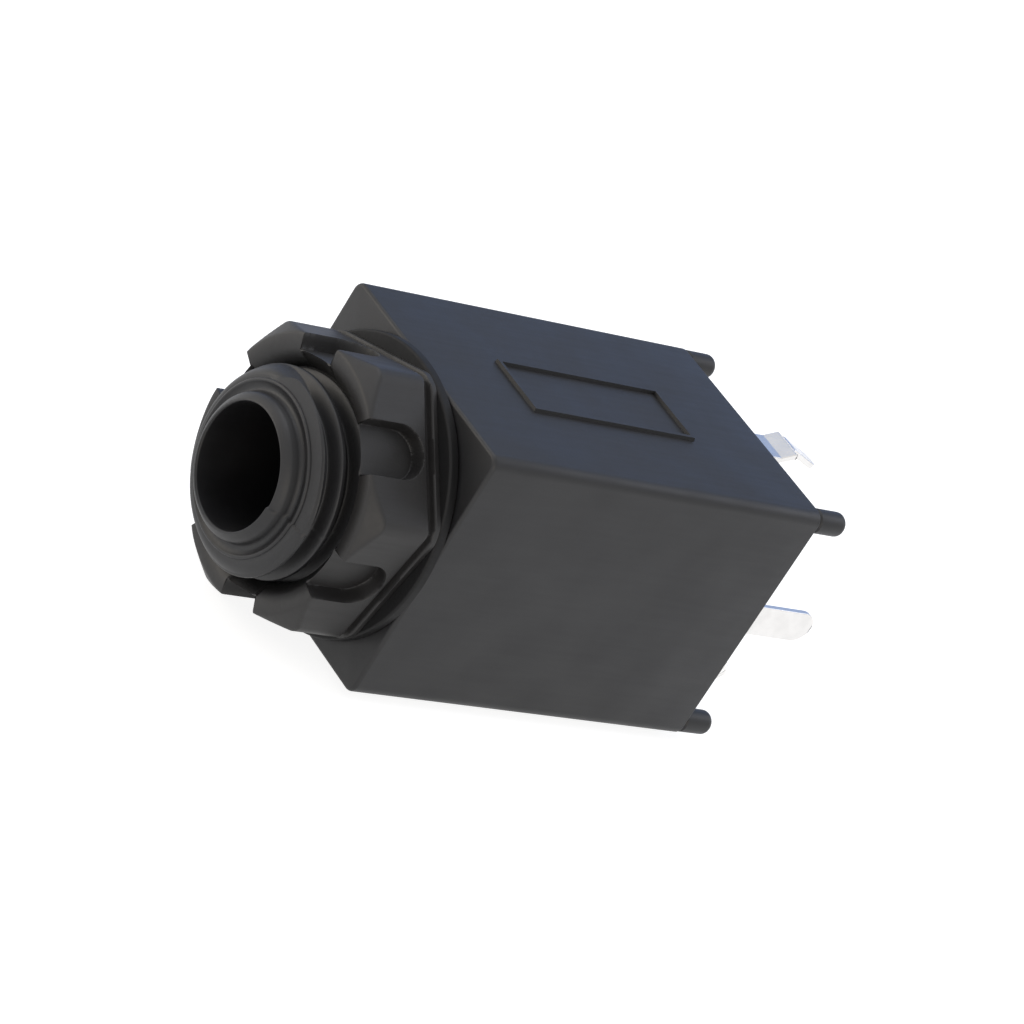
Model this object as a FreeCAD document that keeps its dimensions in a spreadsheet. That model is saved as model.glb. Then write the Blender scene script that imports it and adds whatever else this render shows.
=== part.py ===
import FreeCAD, Part
import Sketcher
import os

# Panel jack socket for a 6.35 mm three-pole plug, in millimetres.
# The bore runs along Y with its mouth towards -Y, and +Z is up.
# The origin is on the bore's axis, on the front face of the square body.

DOC = FreeCAD.newDocument("jack_socket")
SHEET = DOC.addObject("Spreadsheet::Sheet", "sizes")
AXIS_Y = FreeCAD.Vector(0, 1, 0)
AXIS_Z = FreeCAD.Vector(0, 0, 1)

# Driving sizes: alias, value, what it measures
SIZES = (
    ("body_width", 15.4, "across the square body"),
    ("body_length", 23.6, "front face to rear edge"),
    ("corner_round", 0.5, "radius along the four long edges"),
    ("front_round", 0.35, "radius round the front face"),
    ("side_wall", 1.1, "thickness of the four side walls"),
    ("front_wall", 2.0, "thickness of the wall that carries the nose"),
    ("post_ledge", 0.2, "seat of the cover on the corner posts"),
    ("channel_depth", 0.3, "depth of the channels that hold the contact strips"),
    ("bore_radius", 3.3, "hole for the plug"),
    ("bore_chamfer", 0.15, "bevel at the bore's mouth"),
    ("nose_inset", 2.2, "side of the body to the outside of the nose's thread"),
    ("nose_length", 7.8, "nose in front of the body"),
    ("lip_step", 1.5, "outside of the thread to the flat front of the nose"),
    ("lip_length", 1.2, "bevel between the flat front and the thread"),
    ("peg_radius", 0.68, "locating pegs"),
    ("peg_length", 2.2, "pegs behind the body"),
    ("peg_inset", 0.02, "least distance from a peg's side to the body's side"),
    ("peg_round", 0.5, "radius round a peg's tip"),
    ("frame_start", 6.4, "front face to the engraved frame"),
    ("frame_length", 11.6, "engraved frame along the body"),
    ("frame_width", 4.1, "engraved frame across the body"),
    ("frame_line", 0.25, "width of the engraved line"),
    ("frame_depth", 0.12, "depth of the engraved line"),
    ("cover_thickness", 1.0, "rear cover"),
    ("cover_ledge", 0.5, "seat of the cover on the side walls"),
    ("cover_clearance", 0.05, "all round the cover"),
    ("washer_margin", 0.125, "washer past the nut's corners"),
    ("washer_thickness", 0.6, "washer"),
    ("washer_clearance", 0.2, "washer's hole round the nose"),
    ("washer_round", 0.15, "bevel round the washer's edges"),
    ("face_gap", 0.02, "between faces that lie on each other"),
    ("nut_length", 4.45, "nut along the bore"),
    ("nut_wall", 1.54, "nut's bore to its flats"),
    ("nut_corner_step", 0.95, "nut's rounded corners past its flats"),
    ("nut_chamfer", 0.85, "bevel round the nut's front"),
    ("nut_foot", 0.5, "length of the nut's wider foot"),
    ("nut_foot_step", 0.25, "how far the foot stands out past the flats"),
    ("nut_foot_slope", 0.15, "length of the slope between flat and foot"),
    ("nut_mouth", 0.79, "countersink round the nut's bore"),
    ("nut_angle", 49.3, "angle of the first flat, from +X towards +Z"),
    ("thread_clearance", 0.06, "nut's bore round the nose"),
    ("slot_width", 2.75, "spanner slots in the nut"),
    ("slot_depth", 1.0, "spanner slots below the flats"),
    ("slot_reach", 3.52, "spanner slots from the nut's front to their round end"),
    ("strip_thickness", 0.35, "contact strips and tags"),
    ("strip_width", 2.1, "contact strips"),
    ("strip_clearance", 0.05, "strips in their channels and notches"),
    ("strip_overhang", 1.5, "strip past its rivet"),
    ("tag_length", 5.75, "kinked tags behind the body"),
    ("sleeve_tag_length", 5.3, "the sleeve's straight tag behind the body"),
    ("sleeve_tag_width", 1.9, "the sleeve's straight tag"),
    ("pin_width", 1.3, "narrow ends of the kinked tags"),
    ("kink_start", 2.2, "rear edge to the start of a tag's kink"),
    ("kink_crest", 3.2, "rear edge to the crest of a tag's kink"),
    ("kink_rise", 0.42, "outward step of a tag's kink"),
    ("tip_fall", 0.85, "inward slope of the tip's tag past the crest"),
    ("ring_fall", 1.45, "inward slope of the ring's tag past the crest"),
    ("ring_offset", 3.05, "sideways place of the ring's tag"),
    ("ring_jog", 1.0, "cover to the sideways run of the ring's strip"),
    ("leaf_thickness", 0.3, "contact springs"),
    ("leaf_width", 1.9, "contact springs"),
    ("leaf_gap", 0.2, "between a spring's pad and its strip"),
    ("pad_half", 0.9, "half the length of a spring's pad"),
    ("bend_half", 0.3, "half the flat of a spring's contact bend"),
    ("bend_round", 0.35, "radius of a spring's contact bend"),
    ("leaf_end", 2.2, "spring past its contact bend, along the bore"),
    ("leaf_lift", 1.2, "spring past its contact bend, away from the axis"),
    ("tip_anchor", 9.3, "front face to the tip spring's rivet"),
    ("tip_bend", 17.3, "front face to the tip spring's contact bend"),
    ("tip_reach", 2.35, "axis to the tip spring's contact bend"),
    ("ring_anchor", 4.6, "front face to the ring spring's rivet"),
    ("ring_bend", 12.5, "front face to the ring spring's contact bend"),
    ("ring_reach", 2.75, "axis to the ring spring's contact bend"),
    ("sleeve_anchor", 13.4, "front face to the sleeve spring's rivet"),
    ("sleeve_bend", 5.2, "front face to the sleeve spring's contact bend"),
    ("sleeve_reach", 2.85, "axis to the sleeve spring's contact bend"),
    ("rivet_radius", 0.45, "shank of a contact rivet"),
    ("rivet_head", 0.8, "radius of a rivet's head"),
    ("rivet_head_height", 0.4, "height of a rivet's head"),
    ("rivet_gap", 0.25, "between a rivet's head and the spring's pad"),
    ("rivet_clearance", 0.02, "strip's hole round a rivet"),
    ("leaf_hole_clearance", 0.14, "spring's hole round a rivet"),
)

# Sizes worked out from the driving ones, written with their aliases
HALF = "sizes.body_width / 2"
INNER = "(%s - sizes.side_wall)" % HALF
CHANNEL = "(%s + sizes.channel_depth)" % INNER
COVER_FRONT = "(sizes.body_length - sizes.cover_thickness)"
COVER_SEAT = "(%s + sizes.cover_ledge)" % INNER
PEG_CENTRE = "(%s - max(sizes.corner_round; sizes.peg_radius + sizes.peg_inset))" % HALF
COVER_CORNER = "(%s - sizes.peg_radius - sizes.peg_inset)" % PEG_CENTRE
POST_EDGE = "(%s - sizes.post_ledge)" % COVER_CORNER
STRIP_OUTER = "(%s - sizes.face_gap)" % CHANNEL
STRIP_INNER = "(%s - sizes.strip_thickness)" % STRIP_OUTER
STRIP_MIDDLE = "(%s - sizes.strip_thickness / 2)" % STRIP_OUTER
STRIP_SIDE = "(sizes.strip_width / 2)"
CHANNEL_SIDE = "(%s + sizes.strip_clearance)" % STRIP_SIDE
PAD_MIDDLE = "(%s - sizes.leaf_gap - sizes.leaf_thickness / 2)" % STRIP_INNER
TAG_END = "(sizes.body_length + sizes.tag_length)"
SLEEVE_TAG_END = "(sizes.body_length + sizes.sleeve_tag_length)"
TAG_CREST = "(sizes.body_length + sizes.kink_crest)"
NOSE_FRONT = "(0 - sizes.nose_length)"
NOSE = "(%s - sizes.nose_inset)" % HALF
LIP = "(%s - sizes.lip_step)" % NOSE
NUT_REAR = "(0 - sizes.washer_thickness - 2 * sizes.face_gap)"
NUT_FRONT = "(%s - sizes.nut_length)" % NUT_REAR
NUT_BORE = "(%s + sizes.thread_clearance)" % NOSE
NUT_FLAT = "(%s + sizes.nut_wall)" % NUT_BORE
NUT_CORNER = "(%s + sizes.nut_corner_step)" % NUT_FLAT
WASHER = "(%s + sizes.washer_margin)" % NUT_CORNER
OVERCUT = 1.0
HALF_TURN = 3.14159265


def fill_sheet():
    for row, (alias, value, note) in enumerate(SIZES, start=1):
        SHEET.set("A%d" % row, alias)
        SHEET.set("B%d" % row, str(value))
        SHEET.set("C%d" % row, note)
        SHEET.setAlias("B%d" % row, alias)
    DOC.recompute()


def size(expression):
    """The present value of an expression in the sheet's aliases."""
    return float(SHEET.evalExpression(expression.replace("sizes.", "")))


def minus(expression):
    return "(0 - %s)" % expression


def before(expression):
    return "(%s - %g)" % (expression, OVERCUT)


def beyond(expression):
    return "(%s + %g)" % (expression, OVERCUT)


# Sketch helpers

def fix_point(sketch, geometry, end, x, y):
    """Hold one point of a sketch element at x, y or both, each an expression."""
    for kind, expression in (("DistanceX", x), ("DistanceY", y)):
        if expression is not None:
            held = sketch.addConstraint(Sketcher.Constraint(kind, geometry, end, size(expression)))
            sketch.setExpression("Constraints[%d]" % held, expression)


def draw_outline(sketch, points, closed=True):
    """Lines through points, each an (x, y) pair of expressions."""
    places = [FreeCAD.Vector(size(x), size(y), 0) for x, y in points]
    count = len(points) if closed else len(points) - 1
    first = sketch.GeometryCount
    for i in range(count):
        sketch.addGeometry(Part.LineSegment(places[i], places[(i + 1) % len(places)]))
    for i in range(count if closed else count - 1):
        following = first + (i + 1) % count
        sketch.addConstraint(Sketcher.Constraint("Coincident", first + i, 2, following, 1))
    for i in range(count):
        fix_point(sketch, first + i, 1, *points[i])
    if not closed:
        fix_point(sketch, first + count - 1, 2, *points[-1])
    return first, first + count - 1


def draw_box(sketch, left, right, low, high):
    draw_outline(sketch, [(left, low), (right, low), (right, high), (left, high)])


def draw_circle(sketch, x, y, radius):
    place = FreeCAD.Vector(size(x), size(y), 0)
    index = sketch.addGeometry(Part.Circle(place, AXIS_Z, size(radius)))
    fix_point(sketch, index, 3, x, y)
    held = sketch.addConstraint(Sketcher.Constraint("Radius", index, size(radius)))
    sketch.setExpression("Constraints[%d]" % held, radius)


def draw_round_end(sketch, points, along_x):
    """Lines through points, closed by a half circle from the last point to the first."""
    first, last = draw_outline(sketch, points, closed=False)
    ends = [FreeCAD.Vector(size(x), size(y), 0) for x, y in (points[0], points[-1])]
    middle = (ends[0] + ends[1]) / 2
    start = -HALF_TURN / 2 if along_x else 0.0
    circle = Part.Circle(middle, AXIS_Z, (ends[0] - ends[1]).Length / 2)
    arc = sketch.addGeometry(Part.ArcOfCircle(circle, start, start + HALF_TURN))
    sketch.addConstraint(Sketcher.Constraint("Coincident", arc, 1, last, 2))
    sketch.addConstraint(Sketcher.Constraint("Coincident", arc, 2, first, 1))
    fix_point(sketch, arc, 3, points[0][0] if along_x else None, None if along_x else points[0][1])


def plus_outline(reach, corner):
    """A square of half width reach, with its corners cut back to corner."""
    outline = []
    for x_sign, y_sign in ((1, 1), (-1, 1), (-1, -1), (1, -1)):
        quarter = [(reach, corner), (corner, corner), (corner, reach)]
        quarter = quarter if x_sign == y_sign else quarter[::-1]
        for x, y in quarter:
            outline.append((x if x_sign > 0 else minus(x), y if y_sign > 0 else minus(y)))
    return outline


# Body helpers

def new_body(label, turn=0):
    """A body, turned about the bore's axis from the top of the socket towards +X."""
    body = DOC.addObject("PartDesign::Body", label)
    body.Label = label
    body.Placement = FreeCAD.Placement(FreeCAD.Vector(), FreeCAD.Rotation(AXIS_Y, turn))
    return body


def new_sketch(body, name, role, offset="0", along="0"):
    """A sketch on one of the body's origin planes, moved along its normal and its X."""
    plane = [f for f in body.Origin.OriginFeatures if f.Role == role][0]
    sketch = body.newObject("Sketcher::SketchObject", body.Label + "_" + name)
    sketch.AttachmentSupport = (plane, [""])
    sketch.MapMode = "FlatFace"
    sketch.setExpression("AttachmentOffset.Base.x", along)
    sketch.setExpression("AttachmentOffset.Base.z", offset)
    return sketch


def new_feature(body, kind, name, sketch, grows, **settings):
    """A feature from a sketch, which must add to the solid or take from it."""
    base = body.Tip.Shape.Volume if body.Tip else 0.0
    feature = body.newObject("PartDesign::" + kind, body.Label + "_" + name)
    feature.Profile = sketch
    for key, value in settings.items():
        if isinstance(value, str) and "sizes." in value:
            feature.setExpression(key, value)
        else:
            setattr(feature, key, value)
    DOC.recompute()
    change = feature.Shape.Volume - base
    if (change if grows else -change) <= 0:
        raise ValueError("%s changed nothing" % feature.Label)
    return feature


def turned(body, name, points, grows=True):
    """A solid of revolution about the bore's axis, or the cut that it makes."""
    sketch = new_sketch(body, name + "_profile", "XY_Plane")
    draw_outline(sketch, points)
    kind = "Revolution" if grows else "Groove"
    return new_feature(body, kind, name, sketch, grows, ReferenceAxis=(sketch, ["V_Axis"]), Angle=360)


def patterned(body, name, originals, count):
    """Repeat features evenly about the bore's axis."""
    axis = [f for f in body.Origin.OriginFeatures if f.Role == "Y_Axis"][0]
    pattern = body.newObject("PartDesign::PolarPattern", body.Label + "_" + name)
    pattern.Originals = originals
    pattern.Axis = (axis, [""])
    pattern.Angle = 360
    pattern.Occurrences = count
    body.Tip = pattern
    DOC.recompute()


def rounded(body, name, wanted, radius):
    """Fillet the edges of the body that the test wanted picks out."""
    base = body.Tip
    names = ["Edge%d" % (i + 1) for i, edge in enumerate(base.Shape.Edges) if wanted(edge.BoundBox)]
    if not names:
        raise ValueError("%s found no edge" % name)
    fillet = body.newObject("PartDesign::Fillet", body.Label + "_" + name)
    fillet.Base = (base, names)
    fillet.setExpression("Radius", radius)
    DOC.recompute()


def near(first, second):
    return abs(first - second) < 1e-4


# Moulded body with its nose and pegs

def add_block(body):
    square = new_sketch(body, "square", "XZ_Plane")
    draw_box(square, minus(HALF), HALF, minus(HALF), HALF)
    new_feature(body, "Pad", "block", square, True, Length="sizes.body_length", Reversed=True)
    length = size("sizes.body_length")
    rounded(body, "long_edges", lambda box: near(box.YLength, length), "sizes.corner_round")
    rounded(body, "front_edges", lambda box: near(box.YMax, 0), "sizes.front_round")


def add_nose(body):
    root = "(sizes.front_wall / 2)"
    turned(body, "nose", [
        ("0", root), ("0", NOSE_FRONT), (LIP, NOSE_FRONT),
        (NOSE, "(%s + sizes.lip_length)" % NOSE_FRONT), (NOSE, root)])


def strip_boxes(sketch, inner, reach, ring_side):
    """The three places where strips lie against the walls."""
    draw_box(sketch, minus(CHANNEL_SIDE), CHANNEL_SIDE, inner, reach)
    draw_box(sketch, inner, reach, minus(CHANNEL_SIDE), CHANNEL_SIDE)
    draw_box(sketch, ring_side, "(sizes.ring_offset + %s)" % CHANNEL_SIDE, minus(reach), minus(inner))


def cut_cavity(body):
    rear = minus("sizes.body_length")
    depth = "(sizes.body_length - sizes.front_wall)"
    room = new_sketch(body, "room_outline", "XZ_Plane", rear)
    draw_outline(room, plus_outline(INNER, POST_EDGE))
    new_feature(body, "Pocket", "room", room, False, Length=depth, Reversed=True)
    channels = new_sketch(body, "channel_outline", "XZ_Plane", rear)
    strip_boxes(channels, "(%s - sizes.channel_depth)" % INNER, CHANNEL, minus(CHANNEL_SIDE))
    new_feature(body, "Pocket", "channels", channels, False, Length=depth, Reversed=True)
    recess = new_sketch(body, "recess_outline", "XZ_Plane", rear)
    draw_outline(recess, plus_outline(COVER_SEAT, COVER_CORNER))
    new_feature(body, "Pocket", "recess", recess, False, Length="sizes.cover_thickness", Reversed=True)


def cut_bore(body):
    mouth = "(sizes.bore_radius + sizes.bore_chamfer)"
    end = beyond("sizes.front_wall")
    turned(body, "bore", [
        ("0", before(NOSE_FRONT)), (mouth, before(NOSE_FRONT)), (mouth, NOSE_FRONT),
        ("sizes.bore_radius", "(%s + sizes.bore_chamfer)" % NOSE_FRONT),
        ("sizes.bore_radius", end), ("0", end)], grows=False)


def engrave_frame(body):
    frame = new_sketch(body, "frame_outline", "XY_Plane", HALF)
    for inset in ("0", "sizes.frame_line"):
        side = "(sizes.frame_width / 2 - %s)" % inset
        start = "(sizes.frame_start + %s)" % inset
        end = "(sizes.frame_start + sizes.frame_length - %s)" % inset
        draw_box(frame, minus(side), side, start, end)
    new_feature(body, "Pocket", "frame", frame, False, Length="sizes.frame_depth")


def add_pegs(body):
    circles = new_sketch(body, "peg_circles", "XZ_Plane", minus("sizes.body_length"))
    for x in (PEG_CENTRE, minus(PEG_CENTRE)):
        for y in (PEG_CENTRE, minus(PEG_CENTRE)):
            draw_circle(circles, x, y, "sizes.peg_radius")
    new_feature(body, "Pad", "pegs", circles, True, Length="sizes.peg_length", Reversed=True)
    tip = size("(sizes.body_length + sizes.peg_length)")
    rounded(body, "peg_tips", lambda box: near(box.YMin, tip), "sizes.peg_round")


def make_housing():
    body = new_body("housing")
    add_block(body)
    add_nose(body)
    cut_cavity(body)
    cut_bore(body)
    engrave_frame(body)
    add_pegs(body)
    return body


def make_rear_cover():
    body = new_body("rear_cover")
    reach = "(%s - sizes.cover_clearance)" % COVER_SEAT
    plate = new_sketch(body, "plate_outline", "XZ_Plane", minus(COVER_FRONT))
    draw_outline(plate, plus_outline(reach, "(%s - sizes.cover_clearance)" % COVER_CORNER))
    new_feature(body, "Pad", "plate", plate, True, Length="sizes.cover_thickness", Reversed=True)
    notches = new_sketch(body, "notch_outline", "XZ_Plane", minus(COVER_FRONT))
    inner = "(%s - sizes.strip_clearance)" % STRIP_INNER
    strip_boxes(notches, inner, beyond(COVER_SEAT), "(sizes.ring_offset - %s)" % CHANNEL_SIDE)
    new_feature(body, "Pocket", "notches", notches, False, Length=beyond("sizes.cover_thickness"))
    return body


# Washer and nut on the nose

def make_panel_washer():
    body = new_body("panel_washer")
    hole = "(%s + sizes.washer_clearance)" % NOSE
    rear = minus("sizes.face_gap")
    front = "(%s - sizes.washer_thickness)" % rear
    side = "(%s - sizes.washer_round)" % WASHER
    turned(body, "ring", [
        (hole, front), (side, front), (WASHER, "(%s + sizes.washer_round)" % front),
        (WASHER, "(%s - sizes.washer_round)" % rear), (side, rear), (hole, rear)])
    return body


def make_hex_nut():
    body = new_body("hex_nut")
    turned(body, "blank", [
        (NUT_BORE, NUT_REAR), (NUT_CORNER, NUT_REAR),
        (NUT_CORNER, "(%s + sizes.nut_chamfer)" % NUT_FRONT),
        ("(%s - sizes.nut_chamfer)" % NUT_CORNER, NUT_FRONT),
        ("(%s + sizes.nut_mouth)" % NUT_BORE, NUT_FRONT),
        (NUT_BORE, "(%s + sizes.nut_mouth)" % NUT_FRONT)])

    foot = "(%s + sizes.nut_foot_step)" % NUT_FLAT
    foot_front = "(%s - sizes.nut_foot)" % NUT_REAR
    side = new_sketch(body, "flat_profile", "XY_Plane")
    draw_outline(side, [
        (NUT_FLAT, before(NUT_FRONT)), (NUT_FLAT, "(%s - sizes.nut_foot_slope)" % foot_front),
        (foot, foot_front), (foot, beyond(NUT_REAR)), (beyond(NUT_CORNER), beyond(NUT_REAR)),
        (beyond(NUT_CORNER), before(NUT_FRONT))])
    flat_cut = new_feature(body, "Pocket", "flat", side, False, Length="2 * %s" % NUT_CORNER, Midplane=True)

    slot = new_sketch(body, "slot_outline", "YZ_Plane", "(%s - sizes.slot_depth)" % NUT_FLAT)
    half = "(sizes.slot_width / 2)"
    centre = "(%s + sizes.slot_reach - %s)" % (NUT_FRONT, half)
    draw_round_end(slot, [(centre, half), (before(NUT_FRONT), half), (before(NUT_FRONT), minus(half)),
                          (centre, minus(half))], along_x=True)
    slot_cut = new_feature(body, "Pocket", "slot", slot, False, Length=NUT_CORNER, Reversed=True)
    patterned(body, "six_sides", [flat_cut, slot_cut], 6)
    turn = FreeCAD.Rotation(FreeCAD.Vector(0, -1, 0), size("sizes.nut_angle"))
    body.Placement = FreeCAD.Placement(FreeCAD.Vector(), turn)
    body.setExpression("Placement.Rotation.Angle", "sizes.nut_angle")
    return body


# Contacts: each is a strip with its tag, a leaf spring and a rivet.
# They are drawn along the top wall and turned about the bore's axis to their own wall.

def bent_strip(body, path_points, width_from, width_to, thickness):
    """A flat strip of even thickness that follows a path along the bore."""
    path = new_sketch(body, "path", "YZ_Plane")
    draw_outline(path, path_points, closed=False)
    start, height = path_points[0]
    section = new_sketch(body, "section", "XZ_Plane", minus(start))
    draw_box(section, width_from, width_to, "(%s - %s / 2)" % (height, thickness),
             "(%s + %s / 2)" % (height, thickness))
    new_feature(body, "AdditivePipe", "strip", section, True, Spine=path, Transition="Right corner")


def rivet_hole(body, anchor, radius):
    hole = new_sketch(body, "hole_circle", "XY_Plane")
    draw_circle(hole, "0", anchor, radius)
    new_feature(body, "Pocket", "hole", hole, False, Length="sizes.body_width", Reversed=True)


def trim_tag(body, place, half, start, end):
    """Cut a tag's sides back from start to its end, and round the end."""
    waste = new_sketch(body, "tag_sides", "XY_Plane")
    centre = "(%s - %s)" % (end, half)
    wide = beyond(STRIP_SIDE)
    left = [("(%s - %s)" % (place, half), centre), ("(%s - %s)" % (place, half), start),
            ("(%s - %s)" % (place, wide), start), ("(%s - %s)" % (place, wide), beyond(end))]
    right = [("(%s + %s)" % (place, wide), beyond(end)), ("(%s + %s)" % (place, wide), start),
             ("(%s + %s)" % (place, half), start), ("(%s + %s)" % (place, half), centre)]
    draw_round_end(waste, left + right, along_x=False)
    new_feature(body, "Pocket", "tag_end", waste, False, Length="sizes.body_width", Reversed=True)


def kinked_path(start, fall):
    crest = "(%s + sizes.kink_rise)" % STRIP_MIDDLE
    return [(start, STRIP_MIDDLE), ("(sizes.body_length + sizes.kink_start)", STRIP_MIDDLE),
            (TAG_CREST, crest), (TAG_END, "(%s - %s)" % (crest, fall))]


def make_tip_terminal():
    body = new_body("tip_terminal")
    path = kinked_path("(sizes.tip_anchor - sizes.strip_overhang)", "sizes.tip_fall")
    bent_strip(body, path, minus(STRIP_SIDE), STRIP_SIDE, "sizes.strip_thickness")
    trim_tag(body, "0", "(sizes.pin_width / 2)", TAG_CREST, TAG_END)
    rivet_hole(body, "sizes.tip_anchor", "(sizes.rivet_radius + sizes.rivet_clearance)")
    return body


def make_ring_terminal():
    body = new_body("ring_terminal", turn=180)
    start = "(sizes.ring_anchor - sizes.strip_overhang)"
    place = minus("sizes.ring_offset")
    far = "(%s - %s)" % (place, STRIP_SIDE)
    bent_strip(body, kinked_path(start, "sizes.ring_fall"), far, STRIP_SIDE, "sizes.strip_thickness")
    jog_end = "(%s - sizes.ring_jog)" % COVER_FRONT
    waste = new_sketch(body, "jog_sides", "XY_Plane")
    draw_box(waste, before(far), minus(STRIP_SIDE), before(start), "(%s - sizes.strip_width)" % jog_end)
    draw_box(waste, "(%s + %s)" % (place, STRIP_SIDE), beyond(STRIP_SIDE), jog_end, beyond(TAG_END))
    new_feature(body, "Pocket", "jog", waste, False, Length="sizes.body_width", Reversed=True)
    trim_tag(body, place, "(sizes.pin_width / 2)", TAG_CREST, TAG_END)
    rivet_hole(body, "sizes.ring_anchor", "(sizes.rivet_radius + sizes.rivet_clearance)")
    return body


def make_sleeve_terminal():
    body = new_body("sleeve_terminal", turn=90)
    start = "(sizes.sleeve_anchor - sizes.strip_overhang)"
    path = [(start, STRIP_MIDDLE), (SLEEVE_TAG_END, STRIP_MIDDLE)]
    bent_strip(body, path, minus(STRIP_SIDE), STRIP_SIDE, "sizes.strip_thickness")
    trim_tag(body, "0", "(sizes.sleeve_tag_width / 2)", "sizes.body_length", SLEEVE_TAG_END)
    rivet_hole(body, "sizes.sleeve_anchor", "(sizes.rivet_radius + sizes.rivet_clearance)")
    return body


def make_spring(name, turn, direction):
    """A leaf from its riveted pad to its contact bend and its lifted free end."""
    body = new_body(name + "_spring", turn)
    anchor = "sizes.%s_anchor" % name
    bend = "sizes.%s_bend" % name
    low = "(sizes.%s_reach + sizes.leaf_thickness / 2)" % name
    back, on = ("-", "+") if direction > 0 else ("+", "-")
    path = [("(%s %s sizes.pad_half)" % (anchor, back), PAD_MIDDLE),
            ("(%s %s sizes.pad_half)" % (anchor, on), PAD_MIDDLE),
            ("(%s %s sizes.bend_half)" % (bend, back), low),
            ("(%s %s sizes.bend_half)" % (bend, on), low),
            ("(%s %s sizes.leaf_end)" % (bend, on), "(%s + sizes.leaf_lift)" % low)]
    side = "(sizes.leaf_width / 2)"
    bent_strip(body, path, minus(side), side, "sizes.leaf_thickness")
    reach = size("sizes.%s_reach" % name)
    rounded(body, "bend", lambda box: near(box.ZMin, reach) and near(box.ZMax, reach) and near(box.YLength, 0),
            "sizes.bend_round")
    rivet_hole(body, anchor, "(sizes.rivet_radius + sizes.leaf_hole_clearance)")
    return body


def make_rivet(name, turn):
    body = new_body(name + "_rivet", turn)
    under_head = "(%s - sizes.leaf_thickness / 2 - sizes.rivet_gap)" % PAD_MIDDLE
    profile = new_sketch(body, "profile", "YZ_Plane", along="sizes.%s_anchor" % name)
    draw_outline(profile, [
        ("0", STRIP_OUTER), ("0", "(%s - sizes.rivet_head_height)" % under_head),
        ("sizes.rivet_radius", "(%s - sizes.rivet_head_height)" % under_head),
        ("sizes.rivet_head", "(%s - sizes.rivet_head_height / 2)" % under_head),
        ("sizes.rivet_head", under_head), ("sizes.rivet_radius", under_head),
        ("sizes.rivet_radius", STRIP_OUTER)])
    new_feature(body, "Revolution", "pin", profile, True, ReferenceAxis=(profile, ["V_Axis"]), Angle=360)
    return body


def make_contacts():
    terminals = [make_tip_terminal(), make_ring_terminal(), make_sleeve_terminal()]
    springs = [make_spring("tip", 0, 1), make_spring("ring", 180, 1), make_spring("sleeve", 90, -1)]
    rivets = [make_rivet("tip", 0), make_rivet("ring", 180), make_rivet("sleeve", 90)]
    return terminals + springs + rivets


def check_and_write(bodies):
    DOC.recompute()
    for thing in DOC.Objects:
        if "Invalid" in thing.State or "Error" in thing.State:
            raise ValueError("%s failed: %s" % (thing.Label, thing.State))
    for body in bodies:
        if body.Shape.isNull() or not body.Shape.isValid() or len(body.Shape.Solids) != 1:
            raise ValueError("%s isn't one valid solid" % body.Label)
    os.makedirs("parts", exist_ok=True)
    for body in bodies:
        body.Shape.exportStep("parts/%s.step" % body.Label)


fill_sheet()
check_and_write([make_housing(), make_rear_cover(), make_panel_washer(), make_hex_nut()] + make_contacts())
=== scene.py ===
from math import cos, degrees, exp, hypot, log, pi, radians, sin, sqrt, tan
from types import SimpleNamespace

import bmesh
import bpy
from bpy.props import FloatProperty, IntProperty, PointerProperty, StringProperty
from mathutils import Matrix, Vector


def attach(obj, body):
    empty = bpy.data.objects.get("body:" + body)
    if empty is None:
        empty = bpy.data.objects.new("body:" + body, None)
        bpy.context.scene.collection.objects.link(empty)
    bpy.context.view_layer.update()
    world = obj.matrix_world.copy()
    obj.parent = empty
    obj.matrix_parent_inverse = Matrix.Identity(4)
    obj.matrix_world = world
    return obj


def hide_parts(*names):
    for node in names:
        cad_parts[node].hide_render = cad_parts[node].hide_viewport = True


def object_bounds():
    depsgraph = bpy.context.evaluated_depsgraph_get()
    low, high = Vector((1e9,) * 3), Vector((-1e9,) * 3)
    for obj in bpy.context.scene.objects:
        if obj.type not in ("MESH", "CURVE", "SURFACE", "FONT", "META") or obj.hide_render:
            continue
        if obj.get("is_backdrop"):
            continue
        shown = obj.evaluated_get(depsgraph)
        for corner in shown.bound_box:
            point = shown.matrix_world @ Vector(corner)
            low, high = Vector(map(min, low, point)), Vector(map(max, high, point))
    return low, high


bl_info = {
    "name": "Panel jack socket",
    "version": (1, 0, 0),
    "blender": (4, 5, 0),
    "location": "3D View > Sidebar > Jack socket",
    "description": "Moulded, threaded and plated pieces for the packed jack socket",
    "category": "Add Mesh",
}

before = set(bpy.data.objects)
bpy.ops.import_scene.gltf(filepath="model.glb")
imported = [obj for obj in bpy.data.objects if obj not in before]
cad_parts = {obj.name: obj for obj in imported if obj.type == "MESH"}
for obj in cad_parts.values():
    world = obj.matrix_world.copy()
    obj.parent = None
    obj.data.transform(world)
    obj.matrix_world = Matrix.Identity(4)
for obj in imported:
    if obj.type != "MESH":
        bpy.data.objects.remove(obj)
CAD_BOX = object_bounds()
MM = 0.001
STUDIO_WHITE = "#ffffff"
SLACK = 0.05      # millimetres between a contact strip and the walls of its way
PINHOLE = 0.02    # least radius or half width in millimetres, so that no end comes to a point
# Where each contact is riveted along the bore, and how far its wall is turned from the top
CONTACTS = {"tip": (9.3, 0.0), "ring": (4.6, pi), "sleeve": (13.4, pi / 2)}


# Sizes and colours that a user would change

def length(name, millimetres, description):
    return FloatProperty(name=name, default=millimetres * MM, description=description,
                         unit="LENGTH", subtype="DISTANCE", precision=5)


def colour(name, value, description):
    return StringProperty(name=name, default=value, description=description)


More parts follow.
